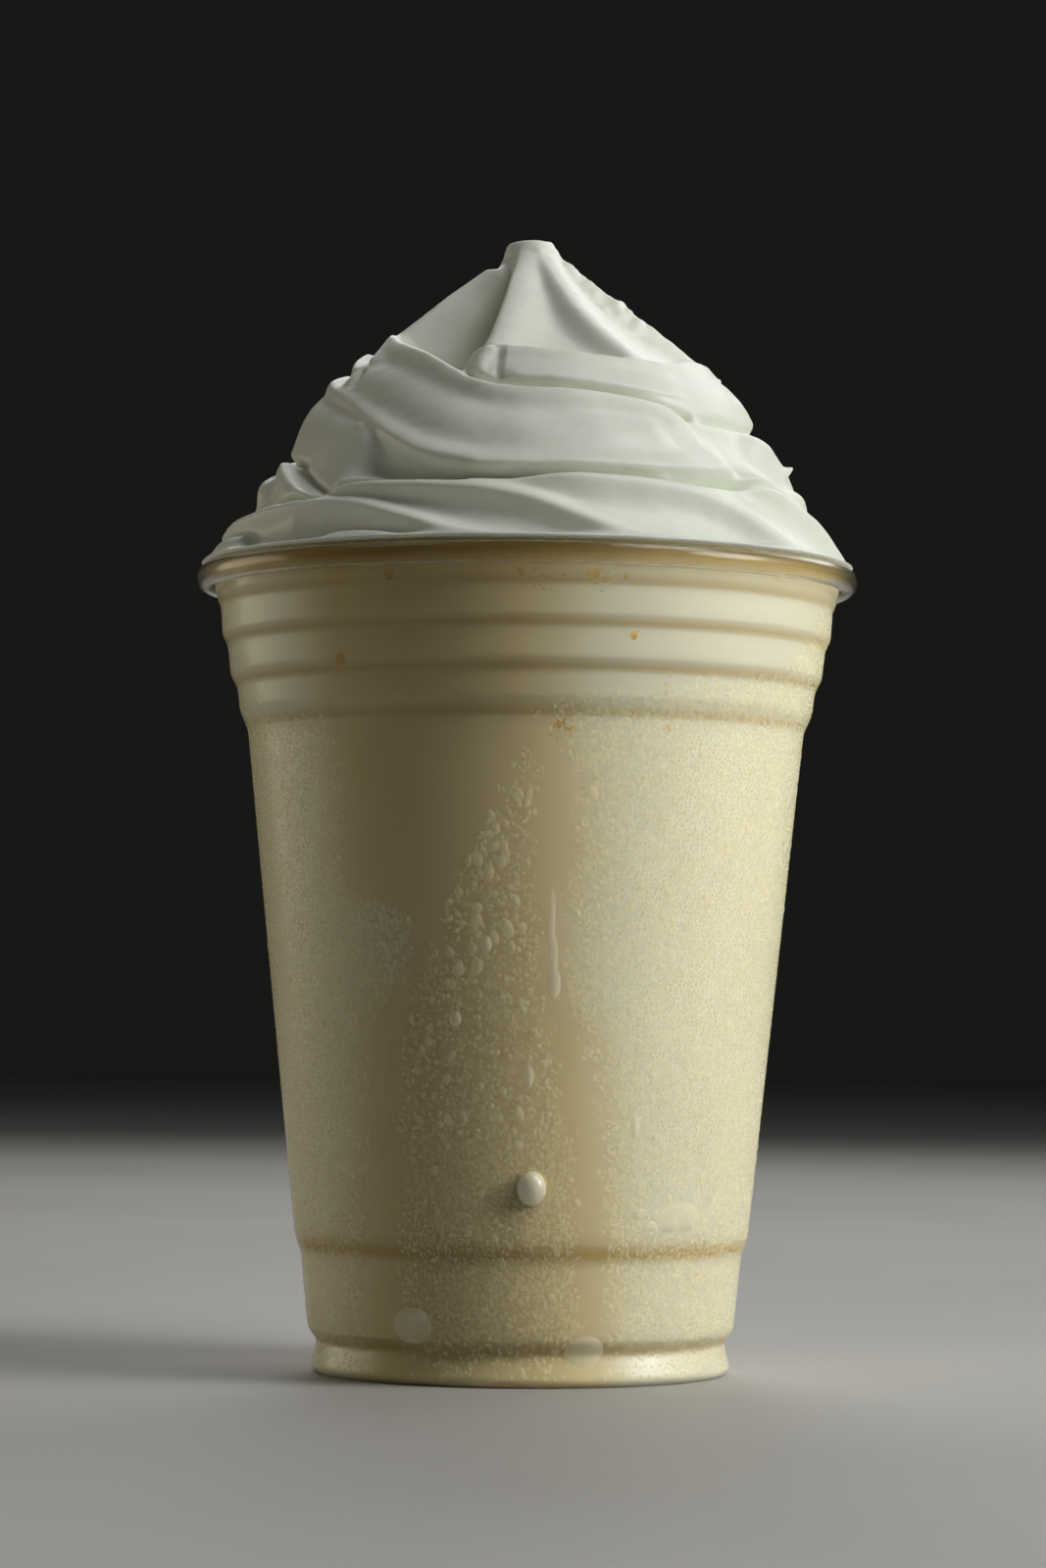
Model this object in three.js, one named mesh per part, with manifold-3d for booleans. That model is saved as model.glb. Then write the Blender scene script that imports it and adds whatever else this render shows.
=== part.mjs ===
// A clear plastic cup of vanilla milkshake with a tall swirl of whipped cream. Sizes are in millimetres.
import * as THREE from "three";
import { mergeVertices } from "three/addons/utils/BufferGeometryUtils.js";
import Module from "manifold-3d";

const wasm = await Module();
wasm.setup();

// Cup
const wall = 0.5;
const gap = 0.3;
const sides = 56;
const panelHeight = 4.2;
const recessRadius = 26.4;
const footInnerRadius = 28.3;
const footRadius = 30.8;
const neckRadius = 30.0;
const neckHeight = 4.65;
const shoulderRadius = 31.45;
const shoulderHeight = 7.0;
const lipUnderHeight = 114.6;
const lipUnderRadius = 46.3;
const lipRadius = 49.0;
const lipHeight = 118.6;

// Steps where the wall widens: heights and radii at the lower and the upper end of each
const steps = [
  { from: 17.5, low: 32.45, to: 20.3, high: 33.42 },
  { from: 94.4, low: 41.15, to: 97.3, high: 42.38 },
  { from: 100.6, low: 42.8, to: 102.6, high: 43.83 },
  { from: 106.7, low: 44.27, to: 108.5, high: 45.12 },
  { from: 112.5, low: 45.35, to: 113.9, high: 45.98 },
];

// Drop hanging on the front of the cup
const beadTurn = 87.7;
const beadHeight = 28.3;
const beadRadius = 34.4;
const beadHalfSize = [2.1, 2.0, 2.45];

// Milkshake
const drinkLevel = 116.1;

// Whipped cream: a round cone on which ridges and seams are laid
const creamSides = 72;
const creamRows = 38;
const creamLevel = drinkLevel + gap;
const creamPlugRadius = 45.1;
const creamLedge = lipHeight + 0.35;
const creamTop = 168.0;
const creamOutline = [
  [48.3, 119.0], [44.6, 124.0], [40.4, 130.6], [34.9, 138.6], [29.2, 146.3], [23.4, 151.0],
  [13.9, 158.2], [5.8, 164.4], [4.4, 166.6], [3.8, 167.7], [2.6, creamTop], [0, creamTop],
];
const fluteDepth = 3.4;
const seamDepth = 2.2;
const seamWidth = 1.1;

// A ridge or seam runs from its right end to its left end as the front shows it, through points of
// turn in degrees, clockwise from the right seen from above, and height. Rise is 1 on the round cone.
// Above and below are the widths of its two sides. Several values are spread evenly along the line.
// Fade is the part that runs out at each end.
const peakRidges = [
  { line: [[102.5, 148], [102.5, 156], [106, 165]], rise: 1, above: 8.0, below: 2.4 },
  { line: [[58, 147], [66, 156], [67, 166]], rise: 0.99, above: 8.0, below: 3.4 },
  { line: [[-4, 146], [7, 156], [14, 165]], rise: 1, above: 7.0, below: 3.0 },
  { line: [[148, 148], [153, 156], [150, 163]], rise: 1, above: 5.0, below: 6.5 },
  { line: [[208, 149], [223, 157], [235, 165]], rise: 1, above: 6.0, below: 2.4 },
  { line: [[264, 149], [284, 157], [300, 165]], rise: 1, above: 6.0, below: 2.4 },
];
const upperRidges = [
  {
    line: [[-12, 149.2], [25, 148.2], [56, 146.8], [98, 148.6]],
    rise: 1, above: 1.3, below: 6.0, fade: [0.15, 0.04],
  },
  {
    line: [[103.5, 141.5], [104.5, 145.5], [104, 149]],
    rise: 0.98, above: 3.0, below: 3.0, fade: [0.1, 0.15],
  },
  {
    line: [[-30, 142.0], [10, 144.5], [45, 143.2], [98, 145.2]],
    rise: 0.97, above: 8.0, below: 8.0, fade: [0.1, 0],
  },
  {
    line: [[40, 141.4], [58, 142.0], [78, 143.0], [98, 143.7]],
    rise: 0.96, above: 4.0, below: 0.7, fade: [0.2, 0.1],
  },
];
const middleRidges = [
  {
    line: [[43, 131.5], [58, 140.2], [98, 142.0], [125, 148.1], [160, 152.4]],
    rise: 1.04, above: 1.6, below: 6.0, fade: [0.2, 0],
  },
  {
    line: [[50, 134.5], [98, 136], [125, 142], [158, 147]],
    rise: 0.95, above: 9.0, below: 9.0, fade: [0.1, 0.1],
  },
  {
    line: [[36, 131], [65, 130], [90, 129.6], [102.4, 129.8], [112.6, 131.6], [121, 134.6], [140.5, 140.8],
      [165, 145], [185, 147.5]],
    rise: [1, 1.1, 1.1, 1, 1], above: [7, 7, 7, 4, 3], below: [0.5, 0.5, 0.6, 3, 5], fade: [0.05, 0],
  },
  {
    line: [[122, 134], [142, 137], [165, 140.5], [185, 143]],
    rise: 0.97, above: 9.0, below: 9.0, fade: [0.15, 0.1],
  },
  { line: [[150, 146.0], [160, 148.2], [175, 150.5]], rise: 0.99, above: 2.5, below: 2.5, fade: [0.2, 0.1] },
  { line: [[-8, 131.0], [10, 135.8], [30, 137.0]], rise: 1, above: 4.0, below: 4.0, fade: [0.1, 0.3] },
];
const lowerRidges = [
  { line: [[33, 117.5], [54, 126.6], [102, 128.5]], rise: 1, above: 3.6, below: 2.8, fade: [0, 0.25] },
  {
    line: [[67, 117.5], [88, 124.4], [107, 126.8], [137, 127.6]],
    rise: 1, above: 3.6, below: 2.0, fade: [0, 0.1],
  },
  {
    line: [[96, 117.5], [113, 122.2], [136, 125.1], [195, 122]],
    rise: 1, above: 3.4, below: 1.8, fade: [0, 0.05],
  },
  { line: [[150, 120.5], [172, 121.2], [195, 119.5]], rise: 0.9, above: 4.0, below: 4.0, fade: [0.2, 0.2] },
  { line: [[139, 126.6], [148, 129.4], [157, 132.4]], rise: 0.97, above: 1.6, below: 5.0 },
  { line: [[160, 129.0], [175, 131.0], [190, 132.0]], rise: 0.85, above: 4.0, below: 4.0, fade: [0.2, 0.2] },
];

// Ridges of the far side, which repeat round each turn of the swirl
const repeats = [
  { into: upperRidges, count: 4, from: 190, every: 48, rise: [[0, 142], [18, 146.5], [40, 150.5]] },
  { into: middleRidges, count: 4, from: 195, every: 45, rise: [[0, 130.5], [22, 138.0], [52, 145]] },
  { into: lowerRidges, count: 6, from: 195, every: 32, rise: [[0, 117.5], [18, 125.0], [48, 131.5]] },
];
for (const set of repeats) {
  for (let i = 0; i < set.count; i++) {
    const line = set.rise.map(([turn, height]) => [set.from + i * set.every + turn, height]);
    set.into.push({ line, rise: 1, above: 4.5, below: 2.4, fade: [0.05, 0.2] });
  }
}
const ridges = [...peakRidges, ...upperRidges, ...middleRidges, ...lowerRidges];

const seams = [
  [[52, 128.6], [75, 129.3], [100, 129.1], [118, 128.8], [134, 127.5]],
  [[134, 127.5], [147, 131.4], [152, 133.2], [190, 137.0], [315, 139.4], [405, 139.2]],
  [[404, 139.2], [430, 141.8], [458, 142.8], [468, 144.8]],
  [[205, 152.5], [270, 152.2], [340, 151.6]],
  [[134, 126.3], [160, 126.3], [200, 125.0]],
];

// The deep hollow at the left of the peak: the turns of its bottom and its left edge, its share of the
// cone's radius, the turns and heights of its right edge, and the crest that hides its foot
const hollowBottom = 114;
const hollowLeft = 154;
const hollowShare = 0.85;
const hollowRight = [[109, 143], [107, 148], [103.5, 150.5], [104, 158], [107, 164]];
const hollowFoot = [[90, 141.0], [102, 143.0], [125, 148.2], [160, 152.6]];

function smooth(from, to, value) {
  const t = THREE.MathUtils.clamp((value - from) / (to - from), 0, 1);
  return t * t * (3 - 2 * t);
}

function spline(points, divisions) {
  return new THREE.SplineCurve(points.map(([x, y]) => new THREE.Vector2(x, y))).getPoints(divisions);
}

function turned(points, segments) {
  const geometry = new THREE.LatheGeometry(points.map(([r, z]) => new THREE.Vector2(r, z)), segments);
  geometry.rotateX(Math.PI / 2);
  return geometry;
}

function named(name, geometry, color, roughness, opacity = 1) {
  geometry.computeVertexNormals();
  const material = new THREE.MeshStandardMaterial({ color, roughness, metalness: 0 });
  material.transparent = opacity < 1;
  material.opacity = opacity;
  const mesh = new THREE.Mesh(geometry, material);
  mesh.name = name;
  return mesh;
}

// The side of the cup from the foot to under the lip, moved in by an inset
function wallLine(inset, fine) {
  const points = [[footRadius - inset, Math.max(1.0, inset + 0.5)]];
  if (fine) points.push([footRadius - 0.15 - inset, 2.6]);
  points.push([neckRadius - inset, neckHeight - 0.5], [neckRadius - inset, neckHeight]);
  if (fine) points.push([neckRadius + 0.5 - inset, neckHeight + 0.7]);
  points.push([shoulderRadius - inset, shoulderHeight]);
  for (const step of steps) {
    points.push([step.low - inset, step.from]);
    points.push([step.high - inset, step.to]);
  }
  return points;
}

function cupGeometry() {
  const under = [
    [0, panelHeight], [recessRadius - 0.9, panelHeight], [recessRadius, panelHeight - 0.9],
    [footInnerRadius - 0.9, 0.8], [footInnerRadius, 0], [footRadius - 0.9, 0],
  ];
  const lip = [
    [lipUnderRadius, lipUnderHeight], [48.3, 116.1], [lipRadius, 117.3], [48.5, 118.3],
    [47.4, lipHeight], [46.3, 118.2], [45.7, 117.0],
  ];
  const inner = wallLine(wall, false).reverse();
  const floor = [
    [footRadius - 0.9 - wall, wall], [footInnerRadius - 0.9 + wall, wall + 0.1],
    [recessRadius + wall, panelHeight - 0.6], [recessRadius - 0.6, panelHeight + wall],
    [0, panelHeight + wall],
  ];
  return turned([...under, ...wallLine(0, true), ...lip, ...inner, ...floor], sides);
}

// The room inside the cup up to the drink's level, moved in by an inset
function fillGeometry(inset) {
  const under = [
    [0, panelHeight + inset], [recessRadius - 0.4, panelHeight + inset],
    [recessRadius + inset, panelHeight - 0.3],
    [footInnerRadius - 0.6 + inset, inset + 0.1], [footRadius - 1.0 - inset, inset + 0.1],
  ];
  const top = [[46.2 - inset, drinkLevel - 0.6], [45.9 - inset, drinkLevel], [0, drinkLevel]];
  return turned([...under, ...wallLine(inset, false), ...top], sides);
}

function asSolid(geometry) {
  const bare = geometry.clone();
  bare.deleteAttribute("normal");
  bare.deleteAttribute("uv");
  const merged = mergeVertices(bare, 1e-4);
  return new wasm.Manifold(new wasm.Mesh({
    numProp: 3,
    vertProperties: new Float32Array(merged.attributes.position.array),
    triVerts: new Uint32Array(merged.index.array),
  }));
}

function asGeometry(solid) {
  const { vertProperties, triVerts } = solid.getMesh();
  const geometry = new THREE.BufferGeometry();
  geometry.setAttribute("position", new THREE.BufferAttribute(vertProperties, 3));
  geometry.setIndex(new THREE.BufferAttribute(triVerts, 1));
  return geometry;
}

function cupWithDrop() {
  const angle = -THREE.MathUtils.degToRad(beadTurn);
  const drop = new THREE.SphereGeometry(1, 14, 10);
  drop.scale(beadHalfSize[1], beadHalfSize[0], beadHalfSize[2]);
  drop.rotateZ(angle);
  drop.translate(beadRadius * Math.cos(angle), beadRadius * Math.sin(angle), beadHeight);
  const outside = asSolid(drop).subtract(asSolid(fillGeometry(wall / 2)));
  return asGeometry(asSolid(cupGeometry()).add(outside));
}

// The cone's outline by its own length, measured up from the lip
const outline = spline(creamOutline, 400);
const lengths = [0];
for (let i = 1; i < outline.length; i++) {
  lengths.push(lengths[i - 1] + outline[i].distanceTo(outline[i - 1]));
}
const outlineLength = lengths[lengths.length - 1];

function outlineAt(length) {
  const last = lengths.length - 2;
  let i = 0;
  while (i < last && lengths[i + 1] < length) i++;
  const t = THREE.MathUtils.clamp((length - lengths[i]) / (lengths[i + 1] - lengths[i]), 0, 1);
  return outline[i].clone().lerp(outline[i + 1], t);
}

function lengthAt(height) {
  let i = 0;
  while (i < outline.length - 2 && outline[i + 1].y < height) i++;
  return lengths[i] + (height - outline[i].y) / Math.max(outline[i + 1].y - outline[i].y, 0.01)
    * (lengths[i + 1] - lengths[i]);
}

function laid(points) {
  const line = spline(points, 6 * (points.length - 1));
  return line.map((p) => new THREE.Vector2(p.x, lengthAt(Math.min(p.y, creamTop - 0.1))));
}

// Where a place on the cone lies from a line: how far off it, + above, how far past its ends, and
// how far along it
function fromLine(turn, length, radius, line) {
  const best = { reach: Infinity, off: 1000, past: 0, along: 0 };
  for (const lap of [-720, -360, 0, 360]) {
    for (let i = 0; i < line.length - 1; i++) {
      const x = THREE.MathUtils.degToRad(line[i].x + lap - turn) * radius;
      const y = line[i].y - length;
      const dx = THREE.MathUtils.degToRad(line[i + 1].x - line[i].x) * radius;
      const dy = line[i + 1].y - line[i].y;
      const size = Math.hypot(dx, dy) + 1e-9;
      const t = THREE.MathUtils.clamp(-(x * dx + y * dy) / size ** 2, 0, 1);
      const ex = x + t * dx;
      const ey = y + t * dy;
      const reach = Math.hypot(ex, ey);
      if (reach < best.reach) {
        best.reach = reach;
        best.off = (dy * ex - dx * ey) / size;
        best.past = Math.abs(dx * ex + dy * ey) / size;
        best.along = (i + t) / (line.length - 1);
      }
    }
  }
  return best;
}

// A value part of the way along a line: one for all of it, or several spread evenly
function across(values, along) {
  if (!Array.isArray(values)) return values;
  const place = along * (values.length - 1);
  const i = Math.min(Math.floor(place), values.length - 2);
  return THREE.MathUtils.lerp(values[i], values[i + 1], place - i);
}

const ridgeLines = ridges.map((ridge) => laid(ridge.line));
const seamLines = seams.map(laid);
const hollowFootLine = laid(hollowFoot);

// Depth of the hollow, steep under the front lobe and easy on its other side
function hollow(turn, length, radius, height) {
  let i = 0;
  while (i < hollowRight.length - 2 && hollowRight[i + 1][1] < height) i++;
  const [[from, low], [to, high]] = hollowRight.slice(i, i + 2);
  const right = THREE.MathUtils.lerp(from, to, THREE.MathUtils.clamp((height - low) / (high - low), 0, 1));
  const steep = smooth(0, 1, (turn - right) / (hollowBottom - right));
  const easy = THREE.MathUtils.clamp((hollowLeft - turn) / (hollowLeft - hollowBottom), 0, 1);
  const { off } = fromLine(turn, length, radius, hollowFootLine);
  return hollowShare * radius * steep * easy * smooth(0.2, 2.4, off) * (1 - smooth(160, 165, height));
}

// How far the cream lies off the round cone at a turn and a length up its outline
function relief(turn, length, radius, level) {
  const sharpness = 8;
  let sum = 1;
  ridges.forEach((ridge, i) => {
    const { off, past, along } = fromLine(turn, length, radius, ridgeLines[i]);
    const [right, left] = ridge.fade ?? [0, 0];
    const width = across(off > 0 ? ridge.above : ridge.below, along);
    const shape = across(ridge.rise, along) / (1 + (off / width) ** 2 + (past / 3) ** 2) ** 1.5;
    const ends = (right ? smooth(0, right, along) : 1) * (left ? smooth(0, left, 1 - along) : 1);
    sum += Math.exp(sharpness * shape * ends) - 1;
  });
  let height = fluteDepth * (Math.log(sum) / sharpness - 1);
  for (const line of seamLines) {
    const { off, past, along } = fromLine(turn, length, radius, line);
    const ends = smooth(0, 0.05, along) * smooth(0, 0.05, 1 - along);
    height -= seamDepth * ends * Math.exp(-(off ** 2 + past ** 2) / seamWidth ** 2);
  }
  return height - hollow(turn, length, radius, level);
}

function creamGeometry() {
  const base = [
    [0, creamLevel], [22, creamLevel], [creamPlugRadius, creamLevel], [creamPlugRadius, creamLedge],
  ];
  const side = [];
  for (let row = 0; row <= creamRows; row++) {
    const length = outlineLength * (row / creamRows) ** 0.96;
    const place = outlineAt(length);
    side.push([row === creamRows ? 0 : place.x, place.y, length]);
  }
  const profile = [...base, ...side];
  const geometry = turned(profile, creamSides);
  const position = geometry.attributes.position;
  for (let i = 0; i < position.count; i++) {
    const row = i % profile.length - base.length;
    if (row < 0 || row === creamRows) continue;
    const column = Math.floor(i / profile.length) % creamSides;
    const turn = (450 - 360 * column / creamSides) % 360;
    const [radius, height, length] = side[row];
    const before = outlineAt(Math.max(length - 2, 0));
    const after = outlineAt(Math.min(length + 2, outlineLength));
    const slope = after.sub(before).normalize();
    const move = relief(turn, length, Math.max(radius, 0.8), height) * smooth(0, 3, length)
      * (0.25 + 0.75 * smooth(3.2, 8, radius));
    const newRadius = Math.max(radius + move * slope.y, 0.05);
    const newHeight = Math.min(height - move * slope.x, creamTop);
    const angle = -THREE.MathUtils.degToRad(turn);
    position.setXYZ(i, newRadius * Math.cos(angle), newRadius * Math.sin(angle), newHeight);
  }
  return geometry;
}

const group = new THREE.Group();
group.add(named("cup", cupWithDrop(), 0xe9e6da, 0.12, 0.35));
group.add(named("milkshake", fillGeometry(wall + gap), 0xdccfa8, 0.5));
group.add(named("whipped_cream", creamGeometry(), 0xf1f2ea, 0.45));

export default group;
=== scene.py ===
# A clear plastic cup of vanilla milkshake under a tall swirl of whipped cream, misted with water drops.
import math

import bpy
import numpy as np
from mathutils import Matrix, Vector


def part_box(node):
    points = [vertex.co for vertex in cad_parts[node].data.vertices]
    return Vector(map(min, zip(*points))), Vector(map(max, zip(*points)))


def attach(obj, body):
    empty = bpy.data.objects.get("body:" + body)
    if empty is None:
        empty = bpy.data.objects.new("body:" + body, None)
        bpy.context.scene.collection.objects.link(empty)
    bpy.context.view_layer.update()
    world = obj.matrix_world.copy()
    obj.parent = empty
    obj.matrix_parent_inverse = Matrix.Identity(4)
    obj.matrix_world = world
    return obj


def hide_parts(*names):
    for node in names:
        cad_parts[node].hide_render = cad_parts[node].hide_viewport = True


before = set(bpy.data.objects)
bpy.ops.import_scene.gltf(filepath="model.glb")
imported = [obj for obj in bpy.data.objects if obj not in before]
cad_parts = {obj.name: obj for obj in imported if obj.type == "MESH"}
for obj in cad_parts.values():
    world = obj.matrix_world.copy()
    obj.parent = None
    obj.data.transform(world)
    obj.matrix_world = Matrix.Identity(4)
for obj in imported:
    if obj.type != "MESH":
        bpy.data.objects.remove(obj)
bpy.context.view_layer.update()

CUP_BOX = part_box("cup")
DRINK_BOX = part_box("milkshake")
CREAM_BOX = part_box("whipped_cream")
MM = 0.001
DRAWS = np.random.default_rng(11)

# Camera, from the picture's own perspective
CAMERA_DISTANCE = 666.2 * MM
CAMERA_HEIGHT = 53.3 * MM
CAMERA_ASIDE = -0.33 * MM
CAMERA_PITCH = math.radians(2.88)
CAMERA_ROLL = math.radians(0.53)
LENS = 103.14
SENSOR = 36

# Soft round lamps round the cup, as name, turn round it, lift in degrees, size in metres, watts and colour
LAMP_DISTANCE = 0.98
LAMP_TARGET = (0, 0, 0.09)
LAMPS = [("key", 16, 20, 0.5, 4.7, (1.0, 1.0, 1.0)),
         ("high", 26, 52, 0.5, 2.9, (1.0, 1.0, 1.0)),
         ("front_left", 150, 55, 0.5, 0.3, (1.0, 1.0, 1.0)),
         ("left", 200, 2, 0.8, 2.0, (1.0, 0.9, 0.7)),
         ("back", 310, 35, 0.5, 1.2, (1.0, 0.99, 0.97)),
         ("rear", 270, 35, 0.6, 2.0, (0.98, 0.99, 1.0))]
ROOM_COLOUR = (0.009, 0.009, 0.0082)
FLOOR_HALF_SIZE = 3.0

# Cup, in millimetres
SHEET = 0.45
PANEL_HEIGHT = 4.45
LIP_HEIGHT = CUP_BOX[1][2] / MM
LIP_RADIUS = CUP_BOX[1][1] / MM
DRINK_LEVEL = DRINK_BOX[1][2] / MM
BRIM = 118.3
LIP_CENTRE = (47.55, 116.75)
CORNER_ROUNDNESS = 0.34
# Height and spacing of the fine rings in the lip
LIP_RIPPLE = (0.03, 0.55)
CUP_SIDES = 160
DRINK_SIDES = 240
# Steps of the wall, each as the height and radius of its foot and of its top
STEPS = [(17.5, 32.45, 20.3, 33.42), (94.4, 41.15, 97.3, 42.38), (100.6, 42.8, 102.6, 43.83),
         (106.7, 44.27, 108.5, 45.12), (112.5, 45.35, 113.9, 45.98)]

# Whipped cream: a round cone on which ridges and seams are laid, in millimetres
CREAM_TOP = CREAM_BOX[1][2] / MM
CREAM_OUTLINE = [(48.3, 119.0), (44.6, 124.0), (40.4, 130.6), (34.9, 138.6), (29.2, 146.3), (23.4, 151.0),
                 (13.9, 158.2), (5.8, 164.4), (4.4, 166.6), (3.8, 167.7), (2.6, CREAM_TOP), (0.0, CREAM_TOP)]
FLUTE_DEPTH = 3.4
RIDGE_SHARPNESS = 8.0
CREAM_COLUMNS = 330
CREAM_ROWS = 292
# Height and wavelength of the cream's unevenness, of its fine waves and of the torn edge right of the peak
UNEVEN = (0.07, 9.0)
FINE_WAVES = (0.02, 2.4)
TORN = (0.22, 2.2)
TORN_TURN = 6


def place(turn, radius, height):
    """A point in millimetres; turn is in degrees, clockwise from the right seen from above."""
    angle = -np.radians(turn)
    return np.stack([radius * np.cos(angle), radius * np.sin(angle), height + 0 * angle], -1)


def fade(start, end, value):
    """Rises smoothly from 0 at the start to 1 at the end."""
    part = np.clip((value - start) / (end - start), 0, 1)
    return part * part * (3 - 2 * part)


def spline(points, count):
    """A smooth line through the points."""
    p = np.array(points, float)
    t = np.linspace(0, len(p) - 1, count)
    i = np.clip(t.astype(int), 0, len(p) - 2)
    f = (t - i)[:, None]
    a, b = p[i], p[i + 1]
    before, after = p[np.maximum(i - 1, 0)], p[np.minimum(i + 2, len(p) - 1)]
    return 0.5 * (2 * a + (b - before) * f + (2 * before - 5 * a + 4 * b - after) * f ** 2
                  + (3 * a - before - 3 * b + after) * f ** 3)


def rounded(points, roundness, step=0.25):
    """A line through the points with its corners rounded, evenly spaced."""
    p = np.array(points, float)
    along = np.concatenate([[0], np.cumsum(np.hypot(*np.diff(p, axis=0).T))])
    even = np.arange(0, along[-1] + step / 2, step)
    line = np.stack([np.interp(even, along, p[:, 0]), np.interp(even, along, p[:, 1])], -1)
    reach = int(3 * roundness / step)
    weights = np.exp(-0.5 * (np.arange(-reach, reach + 1) * step / roundness) ** 2)
    padded = np.concatenate([2 * line[0] - line[reach:0:-1], line, 2 * line[-1] - line[-2:-reach - 2:-1]])
    return np.stack([np.convolve(padded[:, k], weights / weights.sum(), "valid") for k in (0, 1)], -1)


def thinned(line, bend=4.0, stretch=3.5):
    """Only the points that a curve needs: one for each few degrees of bend or millimetres of length."""
    kept = [0]
    heading = np.degrees(np.unwrap(np.arctan2(*np.diff(line, axis=0).T[::-1])))
    for i in range(1, len(line) - 1):
        turned = abs(heading[i] - heading[kept[-1]])
        if turned > bend or np.hypot(*(line[i] - line[kept[-1]])) > stretch:
            kept.append(i)
    return line[kept + [len(line) - 1]]


def wall_line():
    """The middle of the cup's sheet, from the base's centre down round the foot and up to the curled lip."""
    half = SHEET / 2
    base = [(0, PANEL_HEIGHT + 0.5), (12, PANEL_HEIGHT + 0.3), (26.0, PANEL_HEIGHT), (26.9, 3.6), (27.6, 1.6),
            (28.3, half), (29.9, half), (30.55, 0.7), (30.6, 1.4), (30.1, 3.2), (29.75, 4.5), (29.85, 4.9),
            (31.05, 6.5), (31.3, 8.0)]
    side = [(radius - half, height) for low, narrow, high, wide in STEPS
            for radius, height in ((narrow, low), (wide, high))]
    lip = [(46.15, 116.0), (46.5, 117.6)]
    wide, tall = LIP_RADIUS - LIP_CENTRE[0] - half, LIP_HEIGHT - LIP_CENTRE[1] - half
    curl = [(LIP_CENTRE[0] + wide * math.cos(a), LIP_CENTRE[1] + tall * math.sin(a))
            for a in np.radians(np.arange(135, -126, -15))]
    return rounded(base + side + lip + curl, CORNER_ROUNDNESS)


def both_faces(line):
    """The outer and inner faces of a sheet laid along a line that starts on the axis."""
    run = np.gradient(line, axis=0)
    run /= np.hypot(*run.T)[:, None]
    side = np.stack([run[:, 1], -run[:, 0]], -1) * SHEET / 2
    along = np.concatenate([[0], np.cumsum(np.hypot(*np.diff(line, axis=0).T))])
    rise, spacing = LIP_RIPPLE
    ripple = 1 + rise / (SHEET / 2) * np.sin(along * 2 * math.pi / spacing) * fade(116.0, 116.8, line[:, 1])
    outer, inner = line + side * ripple[:, None], line - side
    outer[0, 0] = inner[0, 0] = 0
    return outer, inner


WALL = thinned(wall_line(), 4.0, 2.0)
OUTER, INNER = both_faces(WALL)
RISING = slice(int(np.argmin(OUTER[:, 1])), int(np.argmax(WALL[:, 1] > 115.5)))


def wall_radius(height):
    """Radius of the wall's outside at a height."""
    return np.interp(height, OUTER[RISING, 1], OUTER[RISING, 0])


def revolve(outline, sides):
    """A solid of revolution whose outline starts and ends on the axis: its points and faces."""
    turn = np.arange(sides) * 360 / sides
    rings = [place(turn, r, z) for r, z in outline[1:-1]]
    points = np.concatenate(rings + [[[0, 0, outline[0][1]]], [[0, 0, outline[-1][1]]]])
    faces = []
    count = len(rings)
    for j in range(sides):
        k = (j + 1) % sides
        faces += [(i * sides + j, (i + 1) * sides + j, (i + 1) * sides + k, i * sides + k)
                  for i in range(count - 1)]
        faces.append((count * sides, j, k))
        faces.append((count * sides + 1, (count - 1) * sides + k, (count - 1) * sides + j))
    return points, faces


def add_piece(name, points, faces, material, node=None):
    """Makes a smooth mesh piece from points in millimetres and lets it ride with the part."""
    mesh = bpy.data.meshes.new(name)
    mesh.from_pydata((np.asarray(points) * MM).tolist(), [], np.asarray(faces).tolist()
                     if isinstance(faces, np.ndarray) else faces)
    mesh.polygons.foreach_set("use_smooth", [True] * len(mesh.polygons))
    mesh.materials.append(material)
    mesh.update()
    piece = bpy.data.objects.new(name, mesh)
    bpy.context.scene.collection.objects.link(piece)
    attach(piece, "root")
    if node:
        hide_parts(node)
    return piece


# Lines of the swirl. Each runs from its right end to its left end as the front shows it, through points
# of turn and height. Rise is 1 on the round cone, and above and below are the widths of its two sides.
# Several values are spread evenly along the line. Right and left are the parts that run out at the ends.
def ridge(line, rise, above, below, right=0.0, left=0.0):
    """A crest of the swirl."""
    return {"line": line, "rise": rise, "above": above, "below": below, "right": right, "left": left}


def seam(line, deep, wide, right=0.05, left=0.05):
    """A narrow groove where two turns of the swirl meet."""
    return {"line": line, "deep": deep, "wide": wide, "right": right, "left": left}


PEAK_RIDGES = [
    ridge([(102.5, 148), (102.5, 156), (106, 165)], 1.0, 8.0, 2.4),
    ridge([(58, 147), (66, 156), (67, 166)], 0.99, 8.0, 3.4),
    ridge([(-4, 146), (7, 156), (14, 165)], 1.0, 7.0, 3.0),
    ridge([(148, 148), (153, 156), (150, 163)], 1.0, 5.0, 6.5),
    ridge([(208, 149), (223, 157), (235, 165)], 1.0, 6.0, 2.4),
    ridge([(264, 149), (284, 157), (300, 165)], 1.0, 6.0, 2.4),
]
UPPER_RIDGES = [
    ridge([(-12, 149.2), (25, 148.2), (56, 146.8), (97, 148.4)], 1.0, 1.3, 6.0, 0.15, 0.0),
    ridge([(102.0, 141.5), (103.5, 145.5), (103.0, 148.6)], 0.99, 4.0, 4.0, 0.1, 0.1),
    ridge([(-30, 142.0), (10, 144.5), (45, 143.2), (98, 145.2)], 0.97, 8.0, 8.0, 0.1, 0.0),
    ridge([(40, 141.4), (58, 142.0), (78, 143.0), (98, 143.7)], 0.96, 4.0, 0.7, 0.2, 0.1),
]
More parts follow.
